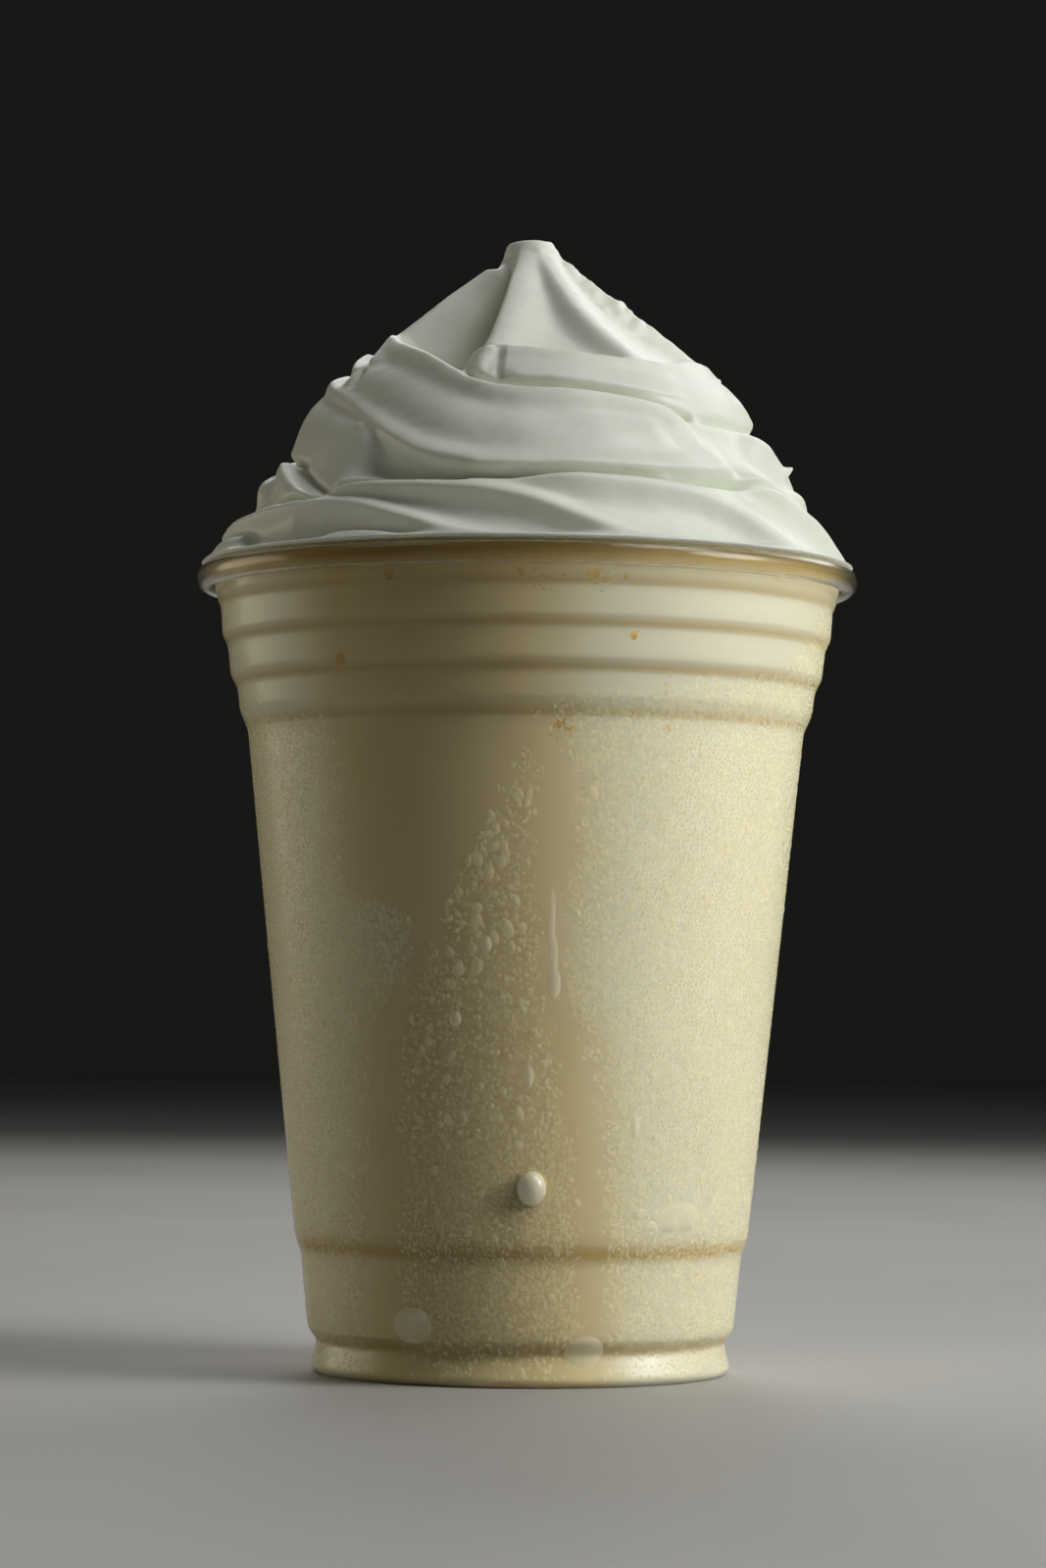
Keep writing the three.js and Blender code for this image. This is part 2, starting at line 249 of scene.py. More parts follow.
MIDDLE_RIDGES = [
    ridge([(43, 131.5), (58, 140.2), (98, 142.0), (125, 148.1), (160, 152.4)], 1.04, 1.6, 6.0, 0.2, 0.0),
    ridge([(50, 134.5), (98, 136.0), (125, 142.0), (158, 147.0)], 0.95, 9.0, 9.0, 0.1, 0.1),
    ridge([(36, 131.0), (65, 130.0), (90, 129.6), (102.4, 129.8), (112.6, 131.6), (121, 134.6),
           (140.5, 140.8), (165, 145.0), (185, 147.5)],
          (1.0, 1.1, 1.1, 1.0, 1.0), (7.0, 7.0, 7.0, 4.0, 3.0), (0.5, 0.5, 0.6, 3.0, 5.0), 0.05, 0.0),
    ridge([(122, 134.0), (142, 137.0), (165, 140.5), (185, 143.0)], 0.97, 9.0, 9.0, 0.15, 0.1),
    ridge([(150, 146.0), (160, 148.2), (175, 150.5)], 0.99, 2.5, 2.5, 0.2, 0.1),
    ridge([(-8, 131.0), (10, 135.8), (30, 137.0)], 1.0, 4.0, 4.0, 0.1, 0.3),
]
LOWER_RIDGES = [
    ridge([(33, 117.5), (54, 126.6), (102, 128.5)], 1.0, 3.6, 2.8, 0.0, 0.25),
    ridge([(67, 117.5), (88, 124.4), (107, 126.8), (137, 127.6)], 1.0, 3.6, 2.0, 0.0, 0.1),
    ridge([(96, 117.5), (113, 122.2), (136, 125.1), (195, 122)], 1.0, 3.4, 1.8, 0.0, 0.05),
    ridge([(112, 118.6), (120, 120.0), (130, 119.8)], 0.85, 2.0, 2.0, 0.3, 0.3),
    ridge([(150, 120.5), (172, 121.2), (195, 119.5)], 0.9, 4.0, 4.0, 0.2, 0.2),
    ridge([(139, 126.6), (148, 129.4), (157, 132.4)], 0.97, 1.6, 5.0),
    ridge([(160, 129.0), (175, 131.0), (190, 132.0)], 0.85, 4.0, 4.0, 0.2, 0.2),
]
# Ridges of the far side, which repeat round each turn of the swirl: how many, first turn, spacing, line
REPEATS = [(4, 190, 48, [(0, 142), (18, 146.5), (40, 150.5)]),
           (4, 195, 45, [(0, 130.5), (22, 138.0), (52, 145)]),
           (6, 195, 32, [(0, 117.5), (18, 125.0), (48, 131.5)])]
FAR_RIDGES = [ridge([(first + k * spacing + turn, height) for turn, height in line], 1.0, 4.5, 2.4, 0.05, 0.2)
              for count, first, spacing, line in REPEATS for k in range(count)]
SEAMS = [
    seam([(52, 128.6), (75, 129.3), (100, 129.1), (118, 128.8), (134, 127.5)], 3.2, 0.42),
    seam([(134, 127.5), (147, 131.4), (152, 133.2), (190, 137.0)], 1.5, 0.45, 0.02, 0.1),
    seam([(101, 129.0), (112, 129.8), (124, 131.2), (142, 134.5)], 2.4, (0.8, 3.0), 0.1, 0.7),
    seam([(180, 137.0), (240, 138.8), (315, 139.4), (360, 139.8), (405, 139.2)], 1.4, 0.6),
    seam([(404, 139.2), (430, 141.8), (458, 142.8), (468, 144.8)], 2.2, 0.5, 0.06, 0.15),
    seam([(205, 152.5), (270, 152.2), (340, 151.6)], 2.2, 0.7, 0.2, 0.1),
    seam([(144.5, 143.4), (147, 146.0), (153, 149.0), (161, 151.5)], 1.4, 0.7, 0.15, 0.1),
    seam([(-5, 123.0), (14, 126.0), (30, 129.2), (45, 130.0), (60, 129.0)], 1.6, 0.45),
    seam([(12, 119.0), (28, 122.0), (40, 125.6), (52, 128.4), (60, 129.2)], 1.0, 0.5),
    seam([(134, 126.3), (160, 126.3), (200, 125.0)], 1.6, 0.5, 0.1, 0.1),
    seam([(97.6, 142.8), (98.4, 145.5), (98.6, 148.4)], 0.7, 0.4, 0.2, 0.2),
]
# The deep hollow at the left of the peak: turns of its bottom and its left edge, its share of the cone's
# radius, the heights and turns of its right edge, and the crest that hides its foot
HOLLOW_BOTTOM, HOLLOW_LEFT, HOLLOW_SHARE = 114.0, 154.0, 0.85
HOLLOW_RIGHT = [(143, 110), (148, 108.5), (150.5, 104), (158, 104), (164, 107)]
HOLLOW_FOOT = [(90, 141.0), (102, 143.0), (125, 148.2), (160, 152.6)]
# Small tufts that stand up from the cream: turn, height, how far they stand out and how wide they are
TUFTS = [(3.0, 133.4, 1.5, 0.6), (82.0, 142.2, 0.6, 0.5), (132.0, 136.6, 0.5, 0.8), (5.0, 147.0, 0.7, 0.5)]

CONE = spline(CREAM_OUTLINE, 900)
CONE_LENGTH = np.concatenate([[0], np.cumsum(np.hypot(*np.diff(CONE, axis=0).T))])
CONE_HEIGHT = np.maximum.accumulate(CONE[:, 1])


def length_at(height):
    """Length up the cone's outline, which runs on below its foot."""
    return np.interp(height, CONE_HEIGHT, CONE_LENGTH) - np.maximum(0, CONE[0, 1] - height) * 1.2


def from_line(turn, length, radius, line, reach):
    """How far places lie off a line, + above, how far past its ends, and how far along it."""
    points = spline(line, 6 * (len(line) - 1) + 1)
    up = length_at(points[:, 1])
    nearest = np.full(turn.shape, 1e9)
    off, past, along = np.full(turn.shape, 1e3), np.zeros(turn.shape), np.zeros(turn.shape)
    margin = np.degrees(reach / np.maximum(radius, 2.0))
    for lap in (-720, -360, 0, 360):
        near = ((turn > points[:, 0].min() + lap - margin) & (turn < points[:, 0].max() + lap + margin)
                & (length > up.min() - reach) & (length < up.max() + reach))
        if not near.any():
            continue
        here, level, r = turn[near], length[near], radius[near]
        found = [nearest[near], off[near], past[near], along[near]]
        for k in range(len(points) - 1):
            x, y = np.radians(points[k, 0] + lap - here) * r, up[k] - level
            dx, dy = np.radians(points[k + 1, 0] - points[k, 0]) * r, up[k + 1] - up[k]
            size = np.hypot(dx, dy) + 1e-9
            t = np.clip(-(x * dx + y * dy) / size ** 2, 0, 1)
            ex, ey = x + t * dx, y + t * dy
            new = [np.hypot(ex, ey), (dy * ex - dx * ey) / size, np.abs(dx * ex + dy * ey) / size,
                   (k + t) / (len(points) - 1)]
            closer = new[0] < found[0]
            found = [np.where(closer, n, old) for n, old in zip(new, found)]
        nearest[near], off[near], past[near], along[near] = found
    return off, past, along


def across(along, size):
    """A size that is the same all along a line, or that changes from its right end to its left end."""
    return np.interp(along, np.linspace(0, 1, np.size(size)), np.ravel(size))


def ends(along, line):
    """How far a line is there, from 0 to 1, where it runs out at its ends."""
    out = fade(0, line["right"], along) if line["right"] else 1.0
    return out * (fade(0, line["left"], 1 - along) if line["left"] else 1.0)


def unevenness(points, wavelength, waves=24):
    """A smooth random ripple between about -1 and 1 with the given wavelength."""
    directions = DRAWS.normal(size=(waves, 3))
    directions /= np.linalg.norm(directions, axis=1)[:, None]
    lengths = wavelength * DRAWS.uniform(0.7, 1.5, waves)
    shifts = DRAWS.uniform(0, 2 * math.pi, waves)
    total = np.zeros(points.shape[:-1])
    for direction, length, shift in zip(directions, lengths, shifts):
        total += np.sin(points @ direction * (2 * math.pi / length) + shift)
    return total / math.sqrt(waves)


def hollow(turn, length, radius):
    """Depth of the deep hollow beside the peak, steep under the front lobe and easy on its other side."""
    height = np.interp(length, CONE_LENGTH, CONE_HEIGHT)
    right = np.interp(height, *np.array(HOLLOW_RIGHT).T)
    steep = fade(0, 1, (turn - right) / (HOLLOW_BOTTOM - right))
    easy = np.clip((HOLLOW_LEFT - turn) / (HOLLOW_LEFT - HOLLOW_BOTTOM), 0, 1)
    off = from_line(turn, length, radius, HOLLOW_FOOT, 60)[0]
    return HOLLOW_SHARE * radius * steep * easy * fade(0.2, 2.4, off) * (1 - fade(160, 165, height))


def cream_relief(turn, length, radius):
    """How far the cream lies off the round cone."""
    total = np.ones(turn.shape)
    for item in PEAK_RIDGES + UPPER_RIDGES + MIDDLE_RIDGES + LOWER_RIDGES + FAR_RIDGES:
        reach = 4.5 * max(np.max(item["above"]), np.max(item["below"]))
        off, past, along = from_line(turn, length, radius, item["line"], reach)
        width = np.where(off > 0, across(along, item["above"]), across(along, item["below"]))
        shape = across(along, item["rise"]) / (1 + (off / width) ** 2 + (past / 3) ** 2) ** 1.5
        total += np.exp(RIDGE_SHARPNESS * shape * ends(along, item)) - 1
    relief = FLUTE_DEPTH * (np.log(total) / RIDGE_SHARPNESS - 1)
    for item in SEAMS:
        off, past, along = from_line(turn, length, radius, item["line"], 6.0)
        wide = across(along, item["wide"])
        relief -= item["deep"] * ends(along, item) * np.exp(-(off ** 2 + past ** 2) / wide ** 2)
    return relief - hollow(turn, length, radius)


def cream_mesh():
    """The swirl's points and faces, with a skirt that goes down inside the lip."""
    length = CONE_LENGTH[-1] * np.linspace(0, 1, CREAM_ROWS) ** 0.96
    turn = np.arange(CREAM_COLUMNS) * 360 / CREAM_COLUMNS
    lengths, turns = np.meshgrid(length, turn, indexing="ij")
    radius = np.interp(lengths, CONE_LENGTH, CONE[:, 0])
    height = np.interp(lengths, CONE_LENGTH, CONE_HEIGHT)
    rise = [np.interp(lengths + d, CONE_LENGTH, side) for side in (CONE[:, 0], CONE_HEIGHT) for d in (-2, 2)]
    slope = np.hypot(rise[1] - rise[0], rise[3] - rise[2])
    out, up = (rise[3] - rise[2]) / slope, (rise[0] - rise[1]) / slope
    base = place(turns, radius, height)
    relief = cream_relief(turns, lengths, np.maximum(radius, 0.8))
    relief *= fade(0, 3, lengths) * (0.25 + 0.75 * fade(3.2, 8, radius))
    relief += UNEVEN[0] * unevenness(base, UNEVEN[1]) * fade(0, 4, lengths)
    relief += FINE_WAVES[0] * unevenness(base, FINE_WAVES[1])
    aside = (turns + 180) % 360 - 180 - TORN_TURN
    torn = np.exp(-aside ** 2 / 300) * fade(150, 158, height) * fade(0, 1.5, radius)
    relief += TORN[0] * torn * unevenness(base, TORN[1])
    for tuft_turn, tuft_height, tall, wide in TUFTS:
        spot = np.linalg.norm(base - place(tuft_turn, np.interp(tuft_height, CONE_HEIGHT, CONE[:, 0]),
                                           tuft_height), axis=-1)
        relief += tall * np.exp(-(spot / wide) ** 2)
    rows = place(turns, np.maximum(radius + relief * out, 0.01), np.minimum(height + relief * up, CREAM_TOP))
    rows[-1] = place(turn, np.full(turn.shape, 0.01), CREAM_TOP)
    skirt = [(30.0, DRINK_LEVEL - 0.4), (45.0, DRINK_LEVEL - 0.4),
             (45.6, BRIM - 0.4), (46.6, BRIM + 0.2), (47.5, BRIM + 0.45)]
    under = [place(turn, r, z) for r, z in skirt]
    grid = np.concatenate([np.stack(under), rows])
    count = len(grid)
    points = np.concatenate([grid.reshape(-1, 3), [[0, 0, DRINK_LEVEL - 0.5]]])
    low = np.arange(count - 1)[:, None] * CREAM_COLUMNS
    high, j = low + CREAM_COLUMNS, np.arange(CREAM_COLUMNS)[None, :]
    k = (j + 1) % CREAM_COLUMNS
    corners = np.broadcast_arrays(low + j, high + j, high + k, low + k)
    faces = np.stack(corners, -1).reshape(-1, 4).tolist()
    faces += [(len(points) - 1, a, (a + 1) % CREAM_COLUMNS) for a in range(CREAM_COLUMNS)]
    last = (count - 1) * CREAM_COLUMNS
    faces.append(tuple(last + CREAM_COLUMNS - 1 - a for a in range(CREAM_COLUMNS)))
    return points, faces


# Water drops
def drop_shape(sides, rings, power):
    """A drop of radius 1 and height 1, a ball at power 1 and flatter above: its points and triangles."""
    points = []
    for i in range(rings):
        lift = i / rings * math.pi / 2
        points += [(math.cos(lift) * math.cos(a), math.cos(lift) * math.sin(a), math.sin(lift) ** power)
                   for a in np.arange(sides) * 2 * math.pi / sides]
    points += [(0, 0, 1), (0, 0, -0.25)]
    top, bottom = len(points) - 2, len(points) - 1
    faces = []
    for j in range(sides):
        k = (j + 1) % sides
        for i in range(rings - 1):
            a, b, c, d = i * sides + j, i * sides + k, (i + 1) * sides + k, (i + 1) * sides + j
            faces += [(a, b, c), (a, c, d)]
        faces.append(((rings - 1) * sides + j, (rings - 1) * sides + k, top))
        faces.append((k, j, bottom))
    return np.array(points), np.array(faces)


def lay_drops(turn, height, wide, tall, thick, sides, rings, tilt=0.4, power=2, sunk=0.01):
    """Drops of half widths and half heights that follow the wall, as one set of points and faces."""
    shape, faces = drop_shape(sides, rings, power)
    spin = DRAWS.uniform(-tilt, tilt, len(turn))[:, None]
    x, y = wide[:, None] * shape[:, 0], tall[:, None] * shape[:, 1]
    level = height[:, None] + x * np.sin(spin) + y * np.cos(spin)
    radius = wall_radius(level)
    turns = turn[:, None] - np.degrees((x * np.cos(spin) - y * np.sin(spin)) / radius)
    points = place(turns, radius - sunk + thick[:, None] * shape[:, 2], level)
    shift = np.arange(len(turn))[:, None, None] * len(shape)
    return points.reshape(-1, 3), (faces[None] + shift).reshape(-1, 3)


# Two bare tracks where drops have run down, as height, left turn and right turn. The drops between them
# stand out singly. The same pair comes again on the other sides.
LEFT_TRACK = [(97, 131, 88), (92.5, 130.5, 88.4), (81, 130.3, 97), (75, 130.2, 101), (70, 129.5, 105),
              (66.5, 114.5, 107), (59.5, 115.2, 112.5), (55, 121.5, 115), (47, 126, 118),
              (38.8, 127.7, 119.4), (26.5, 129.8, 120.5), (15.5, 133.4, 121.9), (5, 135.5, 122)]
RIGHT_TRACK = [(97, 88, 86), (92.5, 88.4, 84), (85, 87.6, 80.4), (76, 87.5, 79.6), (67, 87.7, 81.7),
               (59, 87.1, 82), (53.4, 85.3, 80.1), (49.3, 82.3, 75.5), (42.5, 81.4, 73.9), (33, 78, 71.6),
               (23, 76.3, 69.6), (5, 74.5, 67.5)]
TRACK_SHIFTS = [0, 118, 205]
# Where the mist ends above, as turn and height
MIST_TOP = [(0, 112), (20, 111), (31, 103), (45, 99.5), (85, 97), (131, 93.5), (145, 96), (170, 97.5),
            (205, 96), (240, 99), (262, 96.5), (290, 98), (318, 102), (340, 110), (360, 112)]
# A nearly bare patch and a patch of coarser mist, as turn, height and their spreads
BARE_PATCH = (50, 25, 9, 4)
COARSE_PATCH = (122, 63, 9, 7)
# Fine drops: spacing of their net, heights it covers, how many are kept, usual, least and largest radius
MIST_SPACING = 0.74
MIST_HEIGHTS = (1.6, 113)
MIST_SHARE = 0.93
MIST_SIZES = (0.26, 0.14, 0.46)
MIST_BANDS = [("mist_low", 0, 36), ("mist_middle", 36, 68), ("mist_high", 68, 120)]
MIST_THICKNESS = 0.13
# Drops that stand out singly: how many between each pair of tracks and how many all round
DROPS_BETWEEN_TRACKS = 190
DROPS_ALL_ROUND = 330
DROP_THICKNESS = 0.2


def track_sides(track, height):
    """Turns of a track's left and right edge at a height."""
    heights, left, right = np.array(track[::-1]).T
    return np.interp(height, heights, left), np.interp(height, heights, right)


def within(turn, left, right, shift, waver=0.0):
    """Degrees by which a turn lies inside an opening moved round by a shift, less than 0 outside."""
    return (left - right) / 2 - np.abs((turn - shift - (left + right) / 2 + 180) % 360 - 180 + waver)


def patch(turn, height, place_and_spread):
    """1 at the middle of a patch, fading out round it."""
    middle, level, wide, tall = place_and_spread
    return np.exp(-((turn - middle) / wide) ** 2 - ((height - level) / tall) ** 2)


def wetness(turn, height):
    """How thickly the wall is misted, from 0 to 1."""
    top_turn, top_height = np.array(MIST_TOP).T
    level = np.interp(turn % 360, top_turn, top_height) + 0.7 * np.sin(np.radians(turn * 9))
    wet = 1 - fade(level - 2.5, level + 1.5, height)
    waver = 0.5 * np.sin(height / 4.3) + 0.3 * np.sin(height / 1.7 + 1)
    for shift in TRACK_SHIFTS:
        for track in (LEFT_TRACK, RIGHT_TRACK):
            inside = within(turn, *track_sides(track, height), shift, waver)
            wet = wet * (1 - fade(-2.2, 1.4, inside + 0.9 * np.sin(height * 1.3 + turn)))
        left, right = track_sides(LEFT_TRACK, height)[1], track_sides(RIGHT_TRACK, height)[0]
        wet = wet * (1 - 0.3 * fade(0, 2, within(turn, left, right, shift)) * fade(36, 42, height))
    return wet * (1 - 0.8 * patch(turn, height, BARE_PATCH)) * (1 - 0.45 * (1 - fade(4, 8, height)))


def mark_washed(piece):
    """Keeps at each point of a piece how far the wall in front of it was washed by running drops."""
    spots = np.array([point.co for point in piece.data.vertices]) / MM
    turn = np.degrees(np.arctan2(-spots[:, 1], spots[:, 0]))
    height = np.clip(spots[:, 2], 5, 97)
    left, right = track_sides(LEFT_TRACK, height)[0], track_sides(RIGHT_TRACK, height)[1]
    washed = 0 * turn
    for shift in TRACK_SHIFTS:
        washed = np.maximum(washed, fade(-14, 8, within(turn, left, right, shift)))
    mark = piece.data.attributes.new("washed", "FLOAT", "POINT")
    mark.data.foreach_set("value", washed)


def mist():
    """Places and sizes of the fine drops, on an uneven net over the wall."""
    turns, heights = [], []
    for row in np.arange(*MIST_HEIGHTS, MIST_SPACING * 0.87):
        count = int(2 * math.pi * wall_radius(row) / MIST_SPACING)
        turns.append((np.arange(count) + DRAWS.uniform(0, 1)) * 360 / count)
        heights.append(np.full(count, row))
    turn, height = np.concatenate(turns), np.concatenate(heights)
    turn = (turn + DRAWS.normal(0, 0.22, len(turn)) * np.degrees(MIST_SPACING / wall_radius(height))) % 360
    height = height + DRAWS.normal(0, 0.14, len(height))
    kept = DRAWS.uniform(0, 1, len(turn)) < wetness(turn, height) * MIST_SHARE
    turn, height = turn[kept], height[kept]
    usual, least, largest = MIST_SIZES
    size = DRAWS.lognormal(0, 0.2, len(turn)) * (usual + 0.09 * patch(turn, height, COARSE_PATCH))
    return turn, height, np.clip(size, least, largest)


def single_drops():
    """Places and sizes of the drops that stand out singly: most lie between the bare tracks."""
    turn, height, size = [], [], []
    count = DROPS_BETWEEN_TRACKS
    for shift in TRACK_SHIFTS:
        level = DRAWS.uniform(34, 84, count)
        left, right = track_sides(LEFT_TRACK, level)[1], track_sides(RIGHT_TRACK, level)[0]
        turn.append(shift + right + (left - right) * DRAWS.uniform(0.02, 1.05, count) ** 0.8)
        height.append(level)
        size.append(np.clip(DRAWS.lognormal(-0.85, 0.35, count), 0.25, 0.9))
    turn.append(DRAWS.uniform(0, 360, DROPS_ALL_ROUND))
    height.append(DRAWS.uniform(6, 94, DROPS_ALL_ROUND))
    size.append(np.clip(DRAWS.lognormal(-1.0, 0.3, DROPS_ALL_ROUND), 0.28, 0.8))
    turn, height, size = np.concatenate(turn) % 360, np.concatenate(height), np.concatenate(size)
    kept = DRAWS.uniform(0, 1, len(turn)) < wetness(turn, height)
    return turn[kept], height[kept], size[kept]


def add_drop_piece(name, points, faces, material):
    """Drops have a sharp rim where they meet the wall."""
    piece = add_piece(name, points, faces, material, "cup")
    piece.data.set_sharp_from_angle(angle=math.radians(80))


def add_drops(fine_material, single_material):
    """The mist in three bands, and the drops that stand out singly."""
    turn, height, size = mist()
    for name, low, high in MIST_BANDS:
        band = (height >= low) & (height < high)
        stretch = DRAWS.uniform(0.9, 1.3, band.sum())
        points, faces = lay_drops(turn[band], height[band], size[band], size[band] * stretch,
                                  size[band] * MIST_THICKNESS, 6, 1)
        add_drop_piece(name, points, faces, fine_material)
    turn, height, size = single_drops()
    points, faces = lay_drops(turn, height, size, size * DRAWS.uniform(0.95, 1.6, len(size)),
                              size * DROP_THICKNESS, 14, 4)
    add_drop_piece("single_drops", points, faces, single_material)


# The large flat drops and runs: turn, height, half width, half height and thickness before they are flattened
LARGE_DROPS = [(119.0, 8.6, 3.1, 2.6, 0.55), (117.2, 9.6, 1.5, 1.4, 0.75), (72.8, 5.2, 2.9, 2.3, 1.0),
               (57.0, 22.9, 1.1, 0.8, 0.45), (51.0, 22.7, 1.5, 0.9, 0.5), (45.5, 22.9, 1.7, 1.1, 0.6),
               (48.5, 24.0, 4.2, 2.2, 0.5), (60.5, 24.6, 0.9, 0.8, 0.35),
               (63.1, 37.0, 0.7, 1.7, 0.45), (83.2, 57.0, 0.8, 2.0, 0.35), (83.6, 60.5, 0.55, 3.2, 0.16),
               (84.1, 66.0, 0.45, 4.5, 0.1),
               (88.6, 44.0, 0.7, 1.6, 0.5), (105.0, 52.0, 0.9, 1.1, 0.6), (98.0, 62.5, 0.8, 1.2, 0.55),
               (199.0, 31.0, 1.3, 1.8, 0.8), (249.0, 47.0, 1.1, 2.2, 0.7), (298.5, 24.0, 1.4, 1.6, 0.8),
               (336.0, 58.0, 1.0, 2.4, 0.6), (222.0, 12.0, 2.2, 1.9, 0.6), (318.0, 9.0, 2.4, 2.0, 0.6)]
LARGE_DROP_FLATNESS = 0.6
BEAD = (87.7, 28.3, 2.1, 2.45, 2.2)


def add_large_drops(water, milk):
    """The large drops of water, and the one bead of milk."""
    turn, height, wide, tall, thick = np.array(LARGE_DROPS).T
    points, faces = lay_drops(turn, height, wide, tall, thick * LARGE_DROP_FLATNESS, 28, 9, 0)
    add_drop_piece("large_drops", points, faces, water)
    turn, height, wide, tall, thick = np.array([BEAD]).T
    points, faces = lay_drops(turn, height, wide, tall, thick, 48, 18, 0, 1)
    add_drop_piece("milk_bead", points, faces, milk)


# Amber stains on the wall: turn, height, spread, number of specks, size of a speck
STAINS = [(82.6, 92.9, 0.75, 60, 0.16), (60.7, 93.2, 0.4, 14, 0.14), (78.4, 114.2, 0.0, 1, 0.62),
          (75.9, 113.2, 0.0, 1, 0.46), (72.5, 113.6, 0.0, 1, 0.36), (86.5, 114.0, 1.5, 22, 0.15),
          (91.0, 114.2, 0.0, 1, 0.5), (115.0, 114.0, 0.0, 1, 0.7), (76.0, 113.8, 1.6, 10, 0.14),
          (70.0, 106.0, 0.3, 3, 0.3), (63.0, 98.8, 0.5, 5, 0.2), (127.0, 102.5, 0.0, 1, 0.7),
          (205.0, 96.0, 0.6, 30, 0.16), (296.0, 113.0, 1.2, 14, 0.2)]


def add_stains(material):
    """Thin amber specks, alone or in groups, each sunk into the wall."""
    turns, heights, sizes = [], [], []
    for turn, height, spread, count, size in STAINS:
        turns.append(turn + np.degrees(DRAWS.normal(0, spread, count) / wall_radius(height)))
        heights.append(height + DRAWS.normal(0, spread, count))
        sizes.append(size * DRAWS.lognormal(0, 0.35, count))
    turn, height, size = np.concatenate(turns), np.concatenate(heights), np.concatenate(sizes)
    points, faces = lay_drops(turn, height, size, size * 1.15, size * 0.1, 8, 1, 1.0, 2, 0.19)
    add_drop_piece("amber_specks", points, faces, material)


# Materials
def new_material(name):
    """A new material with its nodes, links and shader."""
    material = bpy.data.materials.new(name)
    material.use_nodes = True
    nodes = material.node_tree.nodes
    return material, nodes, material.node_tree.links, nodes["Principled BSDF"]


def tone_group():
    """Colour that drifts between two tones in soft patches."""
    group = bpy.data.node_groups.new("soft_tone", "ShaderNodeTree")
    face = group.interface
    for name in ("Tone A", "Tone B"):
        face.new_socket(name=name, in_out="INPUT", socket_type="NodeSocketColor")
    for name in ("Scale", "Stretch", "Detail"):
        face.new_socket(name=name, in_out="INPUT", socket_type="NodeSocketFloat")
    face.new_socket(name="Colour", in_out="OUTPUT", socket_type="NodeSocketColor")
    nodes, links = group.nodes, group.links
    inputs, outputs = nodes.new("NodeGroupInput"), nodes.new("NodeGroupOutput")
    place_node, squeeze, combine = (nodes.new("ShaderNodeTexCoord"), nodes.new("ShaderNodeVectorMath"),
                                    nodes.new("ShaderNodeCombineXYZ"))
    noise, mix = nodes.new("ShaderNodeTexNoise"), nodes.new("ShaderNodeMix")
    squeeze.operation = "MULTIPLY"
    combine.inputs["X"].default_value = combine.inputs["Y"].default_value = 1.0
    mix.data_type = "RGBA"
    spread = nodes.new("ShaderNodeMapRange")
    spread.inputs["From Min"].default_value, spread.inputs["From Max"].default_value = 0.36, 0.64
    links.new(inputs.outputs["Stretch"], combine.inputs["Z"])
    links.new(place_node.outputs["Object"], squeeze.inputs[0])
    links.new(combine.outputs["Vector"], squeeze.inputs[1])
    links.new(squeeze.outputs["Vector"], noise.inputs["Vector"])
    links.new(inputs.outputs["Scale"], noise.inputs["Scale"])
    links.new(inputs.outputs["Detail"], noise.inputs["Detail"])
    links.new(noise.outputs["Fac"], spread.inputs["Value"])
    links.new(spread.outputs["Result"], mix.inputs["Factor"])
    links.new(inputs.outputs["Tone A"], mix.inputs["A"])
    links.new(inputs.outputs["Tone B"], mix.inputs["B"])
    links.new(mix.outputs["Result"], outputs.inputs["Colour"])
    return group


def grain_group():
    """Fine relief, coarse and fine grain together, as a height."""
    group = bpy.data.node_groups.new("fine_grain", "ShaderNodeTree")
    face = group.interface
    for name in ("Coarse Scale", "Fine Scale", "Fine Share"):
        face.new_socket(name=name, in_out="INPUT", socket_type="NodeSocketFloat")
    face.new_socket(name="Height", in_out="OUTPUT", socket_type="NodeSocketFloat")
    nodes, links = group.nodes, group.links
    inputs, outputs = nodes.new("NodeGroupInput"), nodes.new("NodeGroupOutput")
    place_node, coarse, fine = (nodes.new("ShaderNodeTexCoord"), nodes.new("ShaderNodeTexNoise"),
                                nodes.new("ShaderNodeTexNoise"))
    mix = nodes.new("ShaderNodeMix")
    links.new(place_node.outputs["Object"], coarse.inputs["Vector"])
    links.new(place_node.outputs["Object"], fine.inputs["Vector"])
    links.new(inputs.outputs["Coarse Scale"], coarse.inputs["Scale"])
    links.new(inputs.outputs["Fine Scale"], fine.inputs["Scale"])
    links.new(inputs.outputs["Fine Share"], mix.inputs["Factor"])
    links.new(coarse.outputs["Fac"], mix.inputs["A"])
    links.new(fine.outputs["Fac"], mix.inputs["B"])
    links.new(mix.outputs["Result"], outputs.inputs["Height"])
    return group


def use_tone(nodes, group, tone_a, tone_b, scale, stretch=1.0, detail=2.0):
    """The colour that a tone group puts out between two tones."""
    node = nodes.new("ShaderNodeGroup")
    node.node_tree = group
    node.inputs["Tone A"].default_value = (*tone_a, 1)
    node.inputs["Tone B"].default_value = (*tone_b, 1)
    node.inputs["Scale"].default_value = scale
    node.inputs["Stretch"].default_value = stretch
    node.inputs["Detail"].default_value = detail
    return node.outputs["Colour"]


def use_grain(nodes, links, group, shader, coarse, fine, share, strength, depth):
    """Gives a shader fine relief with a depth in millimetres."""
    node, bump = nodes.new("ShaderNodeGroup"), nodes.new("ShaderNodeBump")
    node.node_tree = group
    node.inputs["Coarse Scale"].default_value = coarse
    node.inputs["Fine Scale"].default_value = fine
    node.inputs["Fine Share"].default_value = share
    bump.inputs["Strength"].default_value = strength
    bump.inputs["Distance"].default_value = depth * MM
    links.new(node.outputs["Height"], bump.inputs["Height"])
    links.new(bump.outputs["Normal"], shader.inputs["Normal"])


# Height in millimetres that the masks by height span
MASK_HEIGHT = 120


